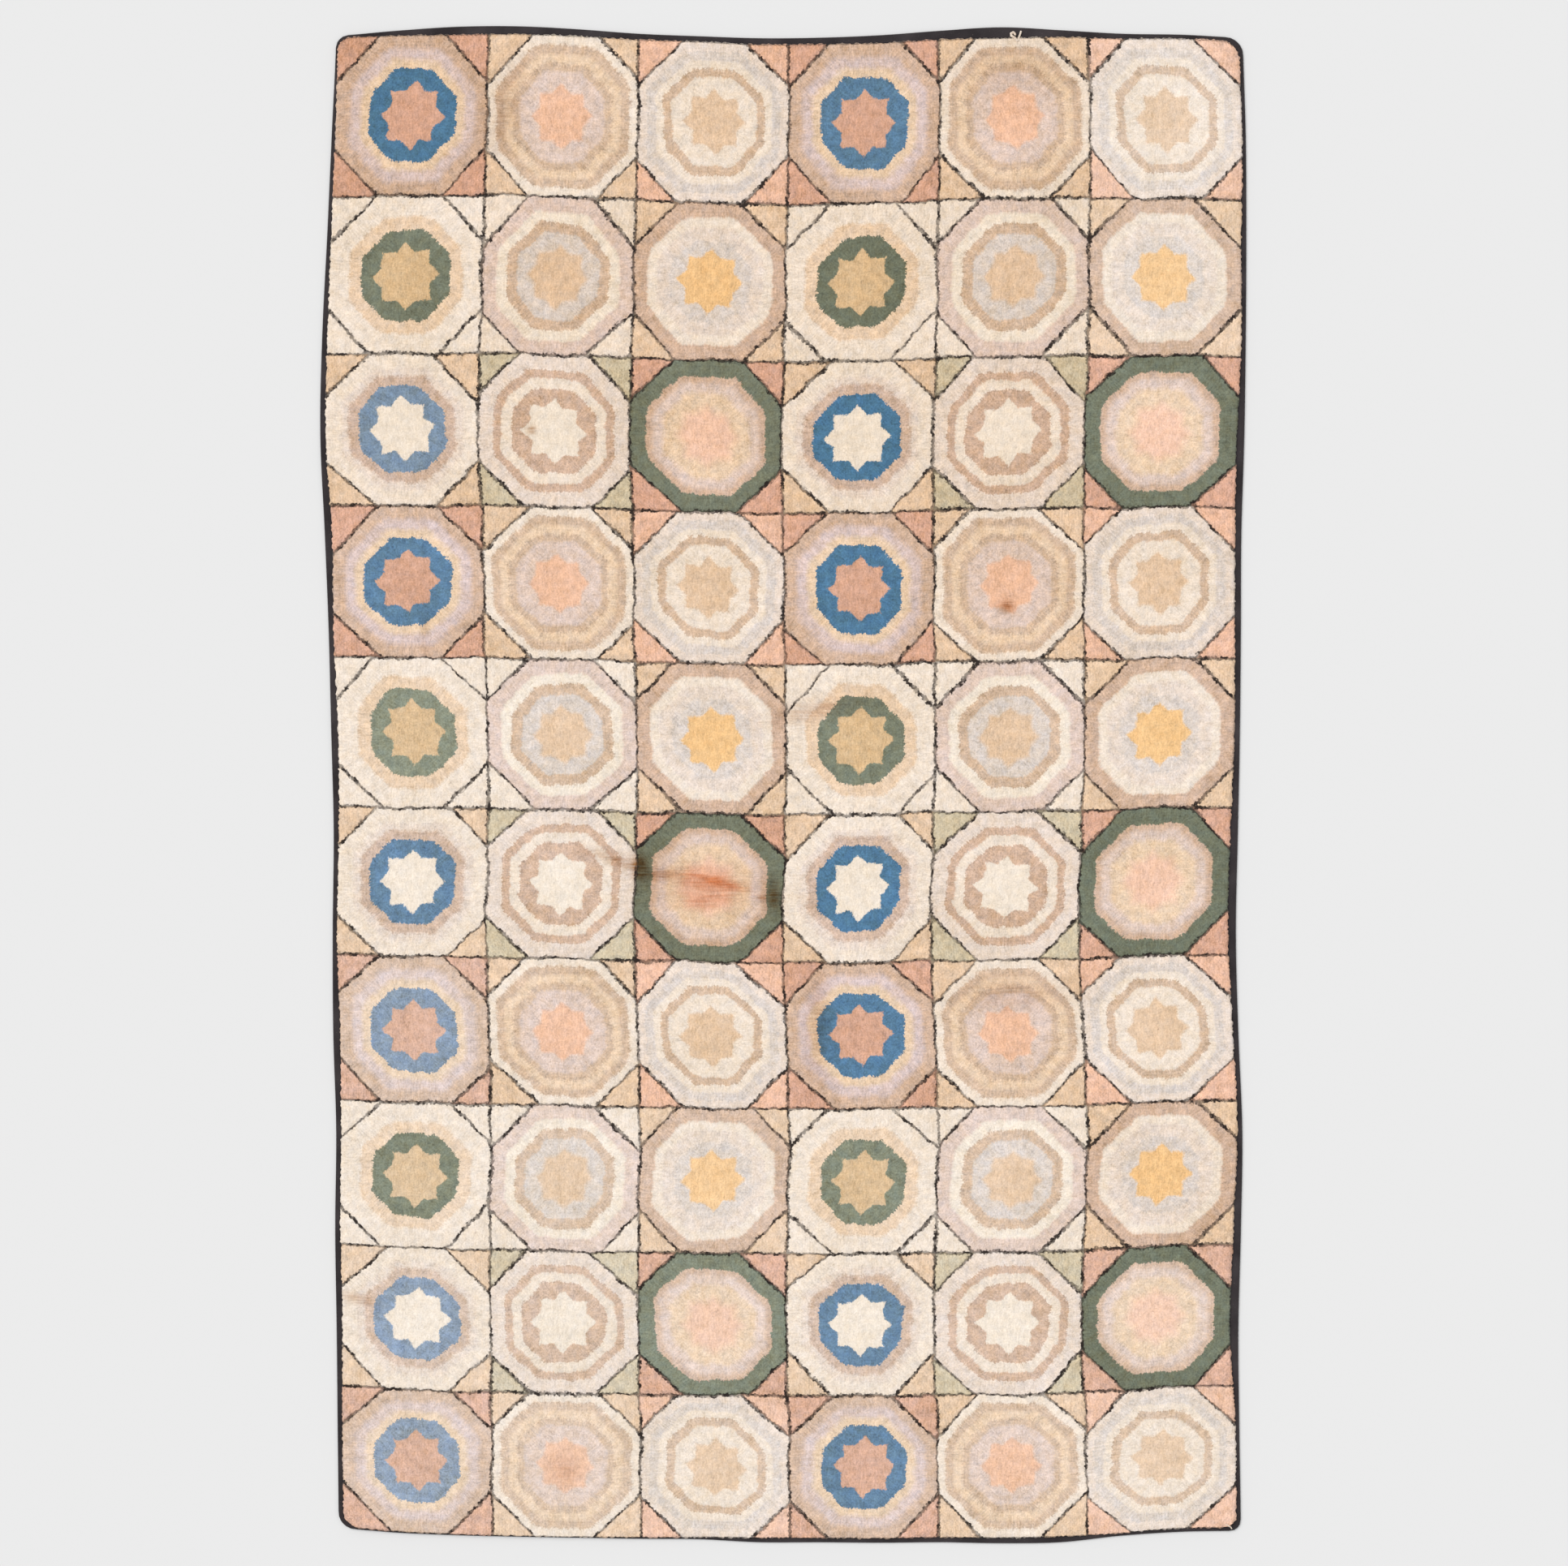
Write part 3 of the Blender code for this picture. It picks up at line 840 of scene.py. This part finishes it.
def pile_material(kind, block):
    """Wool pile in one block's pattern, from the maps and values that the pile columns carry."""
    shader = Shader(f"wool_pile_{kind}")
    place = shader.place()
    rings_map = shader.parts(shader.map("rings"))
    lines_map = shader.parts(shader.map("lines"))
    tufts = shader.noise(place, TUFT_WAVES)
    tuft = shader.parts(tufts["Color"])
    drift = shader.parts(shader.noise(place, DRIFT_WAVES, 3.0, DRIFT_ROUGHNESS)["Color"])
    cloud = shader.parts(shader.noise(place, CLOUD_WAVES, 3.0)["Color"])
    rows = shader.vector("MULTIPLY", shader.map("strokes"), STROKE_WAVES)
    stroke = shader.parts(shader.noise(rows, 1.0)["Color"])

    def centred(part, amount):
        return shader.math("MULTIPLY_ADD", part, amount, -amount / 2)

    def shifted(onto, part, amounts):
        base = shader.vector("ADD", onto, [-amount / 2 for amount in amounts])
        return shader.vector("MULTIPLY_ADD", part, amounts, base)

    ragged = shader.math("ADD", centred(tuft[0], RAGGED), centred(stroke[0], RAGGED))
    out = shader.math("ADD", rings_map[0], shader.math("ADD", ragged, centred(drift[0], RING_DRIFT)))
    shift = shader.math("ADD", ragged, centred(drift[1], STAR_DRIFT))
    star = shader.math("MULTIPLY_ADD", shift, 1 / block.tips, rings_map[1])
    slant = shader.math("ADD", lines_map[1], centred(drift[2], SLANT_DRIFT))

    stops = ring_stops(block.rings, block.blend)
    colour = shader.ramp(shader.math("DIVIDE", out, RAMP_REACH), stops)
    inner = 0.0
    for wool_name, outer in block.rings:
        if wool_name in FADED_WOOL:
            within = shader.math("GREATER_THAN", out, inner)
            if outer < 1:
                within = shader.times(within, shader.math("LESS_THAN", out, outer))
            fade = shader.times(shader.value("fade"), within)
            colour = shader.mix(fade, colour, WOOL[FADED_WOOL[wool_name]])
        inner = outer
    softness = block.star_blend * 2.0
    in_star = shader.span(star, 1 - softness, 1 + softness, 1.0, 0.0)
    colour = shader.mix(in_star, colour, WOOL[block.star])
    in_corner = shader.math("GREATER_THAN", slant, 0.0)
    colour = shader.mix(in_corner, colour, WOOL[block.corners])

    pale = shader.value("pale")
    can_pale = shader.span(shader.parts(colour)[1], DARK_RINGS, DARKEST_WOOL, 0.0, PALE_SHARE)
    pale_share = shader.times(can_pale, shader.span(pale, 0.0, 1.0))
    colour = shader.mix(pale_share, colour, PALE_WOOL)
    colour = shader.mix(shader.span(pale, -1.0, 0.0, 1.0, 0.0), colour, DEEP_WOOL, "MULTIPLY")

    # Dye that took unevenly, wear, one row beside another, single tufts, and painted shade from the
    # pile's relief
    plain = (1.0, 1.0, 1.0)
    tint = shifted(plain, drift[0], DYE_LIGHT)
    tint = shifted(tint, drift[1], DYE_WARMTH)
    tint = shifted(tint, cloud[1], WEAR)
    tint = shifted(tint, stroke[1], STROKE_LIGHT)
    tint = shifted(tint, tuft[0], TUFT_LIGHT)
    # Painted shade: darker in the grooves between rows, at the outlines and at the pile's edge, lighter
    # on the ridges
    tint = shader.vector("MULTIPLY_ADD", shader.value("painted_relief_shade"), PAINTED_GROOVE_SHADE, tint)
    light = shader.parts(colour)[1]
    mottle = shader.span(light, DARKEST_WOOL, PALEST_WOOL, DARK_MOTTLE, PALE_MOTTLE)
    mottle = shader.times(mottle, shader.span(in_star, 0.0, 1.0, 1.0, STAR_MOTTLE))
    tint = shader.vector("MULTIPLY_ADD", shader.vector("SUBTRACT", tint, plain), mottle, plain)
    colour = shader.mix(1.0, colour, tint, "MULTIPLY")
    streaks = shader.noise(shader.vector("MULTIPLY", place, STREAK_WAVES), 1.0, 2.0)["Fac"]
    broken = shader.span(streaks, *STAIN_STREAKS)
    for stain, stain_colour in (("soil", SOIL_COLOUR), ("rust", RUST_COLOUR)):
        amount = shader.times(shader.value(stain), broken)
        colour = shader.mix(amount, colour, stain_colour, "MULTIPLY")

    # The dark outlines, half a hooked row wide, with knots where they meet and gaps where wool leans over
    to_line = shader.math("SMOOTH_MIN", lines_map[0], shader.math("ABSOLUTE", slant), KNOT)
    weight = shader.span(cloud[0], *LINE_WEIGHT)
    beads = shader.span(shader.noise(place, BEAD_WAVES, 0.0)["Fac"], *LINE_BEADS)
    width = shader.times(weight, beads)
    dark = shader.span(drift[2], *LINE_DEPTH)
    on_line = shader.span(to_line, width, shader.math("ADD", width, LINE_SOFT), dark, 0.0)
    colour = shader.mix(on_line, colour, OUTLINE_COLOUR)

    fibres = shader.noise(place, FIBRE_WAVES)["Fac"]
    fleece = shader.math("MULTIPLY_ADD", tufts["Fac"], TUFT_BUMP_SHARE, fibres)
    shader.bump(fleece, PILE_BUMP, PILE_BUMP_HEIGHT)
    return shader.finish(colour, WOOL_ROUGHNESS, WOOL_SHEEN)


# The tape's and the burlap's looks: pitches in metres, noises in waves per metre
TWILL_PITCH = 0.0022
TAPE_COLOUR = srgb("2A2527")
WORN_TAPE = srgb("413B3D")
WORN_WAVES = 14.0
LINT_COLOUR = srgb("9A8E84")
LINT_WAVES = 420.0
LINT_SPECKS = (0.66, 0.78, 0.0, 0.6)
BURLAP_PITCH = 0.0021
BURLAP_DARK = srgb("B09771")
BURLAP_LIGHT = srgb("C3AE86")
SLUB_WAVES = 60.0
# Painted shade of the weave: darker where it dips, lighter where it rises
WEAVE_PAINTED_SHADE = (-1.0, 1.0, 0.75, 1.1)


def tape_material():
    """Black cotton tape, twill woven, a little dusty with wool lint."""
    shader = Shader("black_cotton_tape")
    place = shader.place()
    along = shader.parts(shader.map("tape"))
    twill = shader.math("ADD", along[0], along[1])
    twill = shader.math("SINE", shader.times(twill, 2 * math.pi / TWILL_PITCH))
    worn = shader.noise(place, WORN_WAVES, 3.0, flat=False)["Fac"]
    colour = shader.mix(shader.span(worn, 0.35, 0.75), TAPE_COLOUR, WORN_TAPE)
    lint = shader.noise(place, LINT_WAVES, 2.0, 0.7, flat=False)["Fac"]
    colour = shader.mix(shader.span(lint, *LINT_SPECKS), colour, LINT_COLOUR)
    shader.bump(twill, 0.4, 0.0003)
    return shader.finish(colour, 0.88, 0.1)


def burlap_material():
    """The back of the rug: burlap threads with the wool's loops pulled tight between them, painted darker
    where the weave dips and lighter where it rises, as painted shade.
    """
    shader = Shader("burlap_back")
    place = shader.place()
    across, along, _ = shader.parts(place)
    turn = 2 * math.pi / BURLAP_PITCH
    warp = shader.math("SINE", shader.times(across, turn))
    weft = shader.math("SINE", shader.times(along, turn))
    weave = shader.times(warp, weft)
    slub = shader.noise(place, SLUB_WAVES, 3.0)["Fac"]
    colour = shader.mix(shader.span(slub, 0.3, 0.7), BURLAP_DARK, BURLAP_LIGHT)
    # Painted shade: the weave's low parts are painted darker and its high parts lighter
    dark = shader.span(weave, *WEAVE_PAINTED_SHADE)
    grey = shader.node("ShaderNodeCombineColor")
    for socket in grey.inputs:
        shader.put(socket, dark)
    colour = shader.mix(1.0, colour, grey.outputs[0], "MULTIPLY")
    shader.bump(weave, 0.5, 0.0004)
    return shader.finish(colour, 0.92)


# The other pieces

FOLD_STEPS = 8
TAPE_STEPS_ACROSS = 150
TAPE_STEPS_ALONG = 250
TAPE_LANES = 16

# The tape's puckers, drawn up by the sewing: share, length in metres, phase
PUCKERS = ((0.5, 0.037, 0.0), (0.3, 0.0213, 1.0), (0.4, 0.151, 2.0))
PUCKER_HEIGHT = 0.00025

# Free space round the tape's lanes on its texture
LANE_START, LANE_LONG = 0.01, 0.98
LANE_LOW, LANE_WIDE = 0.04, 0.92


def tape_section():
    """The folded tape's section from the inner end of its under leg, round the outside of the fold, to
    the end on the face and back inside: share of the shown width, inset, and height."""
    half = TAPE_HEIGHT / 2

    def arc(radius):
        angles = [math.pi * k / FOLD_STEPS for k in range(FOLD_STEPS + 1)]
        return [(0.0, half - radius * math.sin(a), half - radius * math.cos(a)) for a in angles]

    inner = TAPE_HEIGHT - TAPE_THICKNESS
    return (
        [(0.0, TAPE_UNDER, 0.0)]
        + arc(half)
        + [(0.4, 0.001, TAPE_HEIGHT), (0.8, 0.0005, TAPE_HEIGHT), (1.0, 0.0014, TAPE_HEIGHT)]
        + [(1.0, 0.0014, inner), (0.5, 0.001, inner)]
        + arc(half - TAPE_THICKNESS)[::-1]
        + [(0.0, TAPE_UNDER, TAPE_THICKNESS)]
    )


def edge_binding(material):
    """The tape, folded round the hem, with its face drawn up in small puckers by the sewing."""
    u, v = border_shares(TAPE_STEPS_ACROSS, TAPE_STEPS_ALONG)
    section = tape_section()
    count = len(u)
    rings = []
    outline = np.stack(place_on_rug(u, v, 0.0, 0.0), 1)
    steps = np.linalg.norm(np.roll(outline, -1, 0) - outline, axis=1)
    travelled = np.concatenate([[0.0], np.cumsum(steps)])
    pucker = sum(share * np.sin(travelled[:-1] * 2 * math.pi / length + phase)
                 for share, length, phase in PUCKERS)
    for tape_part, inset, z in section:
        x, y = place_on_rug(u, v, tape_part, inset)
        on_face = 1.0 if z >= TAPE_HEIGHT - 0.0001 else 0.0
        rise = on_face * PUCKER_HEIGHT * pucker * (1 - abs(2 * tape_part - 1)) * 2
        rings.append(np.stack([x, y, z + rise], 1))
    points = np.concatenate(rings)
    faces, tape_map, bake_map = [], [], []
    lengths = [0.0]
    for k in range(len(section)):
        after = rings[(k + 1) % len(section)][0] - rings[k][0]
        lengths.append(lengths[-1] + float(np.linalg.norm(after)))
    lane_steps = count // TAPE_LANES
    total = travelled[-1]
    for k in range(len(section)):
        ring_a, ring_b = k * count, (k + 1) % len(section) * count
        for i in range(count):
            j = (i + 1) % count
            faces.append((ring_a + i, ring_a + j, ring_b + j, ring_b + i))
            corners = ((i, k), (i + 1, k), (i + 1, k + 1), (i, k + 1))
            lane = min(i // lane_steps, TAPE_LANES - 1)
            for step, level in corners:
                tape_map.append((travelled[step], lengths[level]))
                bake_map.append((
                    LANE_START + LANE_LONG * (step - lane * lane_steps) / lane_steps,
                    (lane + LANE_LOW + LANE_WIDE * lengths[level] / lengths[-1]) / TAPE_LANES,
                ))
    made = make_mesh("edge_binding_tape", points, np.array(faces)[:, ::-1],
                     [("tape", reverse_corners(tape_map)), ("OFBake", reverse_corners(bake_map))])
    made.data.materials.append(material)
    return made, total


def reverse_corners(places):
    """The same places for quads whose corners run the other way."""
    return np.array(places).reshape(-1, 4, 2)[:, ::-1].reshape(-1, 2)


BACKING_THICKNESS = 0.0018
BACKING_INSET = 0.0023
BACKING_STEPS = (48, 80)
BACKING_LOW = 0.0004
BACKING_OVER_TAPE = 0.0002
BACKING_STEP_UP = 0.01


def backing(material):
    """The burlap: one thin closed sheet under the whole pile, its hem inside the folded tape."""
    across, along = BACKING_STEPS
    u, v = np.meshgrid(np.arange(across + 1) / across, np.arange(along + 1) / along)
    u, v = u.ravel(), v.ravel()
    x, y = place_on_rug(u, v, 0.0, BACKING_INSET)
    edge = np.minimum(np.minimum(u, 1 - u) * RUG_WIDTH, np.minimum(v, 1 - v) * RUG_LENGTH)
    over_tape = edge < TAPE_UNDER + BACKING_STEP_UP
    low = np.where(over_tape, TAPE_THICKNESS + BACKING_OVER_TAPE, BACKING_LOW)
    bottom = np.stack([x, y, low], 1)
    top = bottom + (0, 0, BACKING_THICKNESS)
    points = np.concatenate([bottom, top])
    faces = []
    size = len(u)
    wide = across + 1
    for j in range(along):
        for i in range(across):
            a = j * wide + i
            faces.append((a, a + wide, a + wide + 1, a + 1))
            faces.append((size + a, size + a + 1, size + a + wide + 1, size + a + wide))
    rim = (
        list(range(across))
        + [j * wide + across for j in range(along)]
        + [along * wide + i for i in range(across, 0, -1)]
        + [j * wide for j in range(along, 0, -1)]
    )
    for k, a in enumerate(rim):
        b = rim[(k + 1) % len(rim)]
        faces.append((a, b, size + b, size + a))
    made = make_mesh("burlap_backing", points, np.array(faces))
    made.data.materials.append(material)
    return made


# Loose ends of yarn at the rug's edge: half thickness, then the path as x, y, z, all in millimetres
LOOSE_ENDS = (
    (2.6, ((471, 1495, 11.2), (466, 1503, 9.8), (460, 1507, 8.0), (459, 1512, 7.4), (464, 1514, 7.4),
           (468, 1508, 9.0))),
    (2.0, ((472, 1496, 11.4), (474, 1503, 9.4), (477, 1511, 7.0), (479, 1518, 6.6))),
    (0.7, ((896, 424, 10.8), (901, 423, 9.2), (905, 423, 6.4), (909, 423.5, 5.4))),
    (1.3, ((889, -1488, 10.6), (896, -1492, 10.2), (901, -1495, 8.0), (903, -1499, 6.2))),
)
YARN_SIDES = 10
YARN_STEPS = 36
YARN_TWIST = 0.0090
YARN_PLY = 0.12
YARN_COLOUR = srgb("F0E2D2")
YARN_GRIME = srgb("CDB8A4")
YARN_GRIME_WAVES = 160.0
YARN_FIBRE_WAVES = 900.0


def strand(half_thickness, path):
    """Points and triangles of a strand of two-ply yarn along a smooth path, with rounded ends."""
    path = np.array(path)
    share = np.arange(YARN_STEPS + 1) / YARN_STEPS
    middle = np.stack([along_table(path, axis, share) for axis in range(3)], 1)
    ahead = np.gradient(middle, axis=0)
    ahead /= np.linalg.norm(ahead, axis=1)[:, None]
    aside = np.cross(ahead, (0, 0, 1))
    aside /= np.linalg.norm(aside, axis=1)[:, None]
    above = np.cross(aside, ahead)
    travelled = np.concatenate([[0], np.cumsum(np.linalg.norm(np.diff(middle, axis=0), axis=1))])
    rounded = np.sqrt(np.clip(1 - (2 * share - 1) ** 8, 0.02, 1))
    points = [middle[:1], middle[-1:]]
    for turn in 2 * math.pi * np.arange(YARN_SIDES) / YARN_SIDES:
        ply = 1 + YARN_PLY * np.cos(2 * (turn - 2 * math.pi * travelled / YARN_TWIST))
        radius = (MM * half_thickness * rounded * ply)[:, None]
        points.append(middle + radius * (aside * math.cos(turn) + above * math.sin(turn)))
    rows = 2 + np.arange(YARN_SIDES * (YARN_STEPS + 1)).reshape(YARN_SIDES, -1)
    after = np.roll(rows, -1, 0)
    a, b, c, d = rows[:, :-1].ravel(), after[:, :-1].ravel(), after[:, 1:].ravel(), rows[:, 1:].ravel()
    triangles = [np.stack([a, b, c], 1), np.stack([a, c, d], 1)]
    triangles.append(np.stack([np.zeros(YARN_SIDES, int), after[:, 0], rows[:, 0]], 1))
    triangles.append(np.stack([np.ones(YARN_SIDES, int), rows[:, -1], after[:, -1]], 1))
    return np.concatenate(points), np.concatenate(triangles)


def loose_yarn(material):
    """The loose ends of yarn, as one piece."""
    points, triangles = [], []
    total = 0
    for half_thickness, path in LOOSE_ENDS:
        strand_points, strand_triangles = strand(half_thickness, path)
        points.append(strand_points)
        triangles.append(strand_triangles + total)
        total += len(strand_points)
    made = make_mesh("loose_yarn", np.concatenate(points), np.concatenate(triangles))
    made.data.materials.append(material)
    return made


def yarn_material():
    """Cream wool yarn, a little grubby."""
    shader = Shader("loose_wool_yarn")
    place = shader.place()
    fibres = shader.noise(place, YARN_FIBRE_WAVES, 2.0, flat=False)["Fac"]
    grime = shader.noise(place, YARN_GRIME_WAVES, 2.0, flat=False)["Fac"]
    colour = shader.mix(shader.span(grime, 0.35, 0.7), YARN_COLOUR, YARN_GRIME)
    shader.bump(fibres, 0.5, 0.0006)
    return shader.finish(colour, WOOL_ROUGHNESS, WOOL_SHEEN)


FLOOR_SIZE = 400
FLOOR_BELOW = 0.0003
FLOOR_COLOUR = srgb("E5E5E5")
SKY_LIGHT = 0.62
SUN_LIGHT = 1.75
SUN_WIDTH = 50
SUN_TURN = (-22, -30, 0)


def floor_and_light():
    """A plain pale floor under even, soft light, most of it from above and the left."""
    bpy.ops.mesh.primitive_plane_add(size=FLOOR_SIZE, location=(0, 0, -FLOOR_BELOW))
    floor = bpy.context.object
    floor.name = "studio_floor"
    shader = Shader("pale_floor")
    floor.data.materials.append(shader.finish(FLOOR_COLOUR, 0.9))
    world = bpy.data.worlds.new("studio")
    bpy.context.scene.world = world
    world.use_nodes = True
    sky = world.node_tree.nodes["Background"]
    sky.inputs["Color"].default_value = (1, 1, 1, 1)
    sky.inputs["Strength"].default_value = SKY_LIGHT
    sun = bpy.data.lights.new("soft_sun", "SUN")
    sun.energy = SUN_LIGHT
    sun.angle = math.radians(SUN_WIDTH)
    lamp = bpy.data.objects.new("soft_sun", sun)
    lamp.rotation_euler = [math.radians(turn) for turn in SUN_TURN]
    bpy.context.scene.collection.objects.link(lamp)
    bpy.context.scene.view_settings.view_transform = "Standard"


METRES_PER_PIXEL = 0.001633
PHOTO_WIDTH = 1932
CAMERA_OFFSET = (0.0016, 0.0033)
LENS_MM = 100.0
SENSOR_MM = 36.0
FARTHEST_SEEN = 500


def camera():
    """Straight above the rug, so far off that the photo's width of floor fills the frame."""
    data = bpy.data.cameras.new("above")
    data.lens = LENS_MM
    data.sensor_width = SENSOR_MM
    made = bpy.data.objects.new("above", data)
    height = PHOTO_WIDTH * METRES_PER_PIXEL * LENS_MM / SENSOR_MM
    made.location = (*CAMERA_OFFSET, height + PILE_TOP)
    data.clip_end = FARTHEST_SEEN
    bpy.context.scene.collection.objects.link(made)
    bpy.context.scene.camera = made


camera()
floor_and_light()
wool = {kind: pile_material(kind, block) for kind, block in BLOCKS.items()}
columns = [pile_column(column, wool) for column in range(COLUMNS)]
tape, tape_length = edge_binding(tape_material())
burlap = backing(burlap_material())
yarn = loose_yarn(yarn_material())
for piece in columns + [burlap]:
    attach(piece, "root")
    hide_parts("hooked_field")
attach(tape, "root")
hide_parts("edge_binding")
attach(yarn, "root")
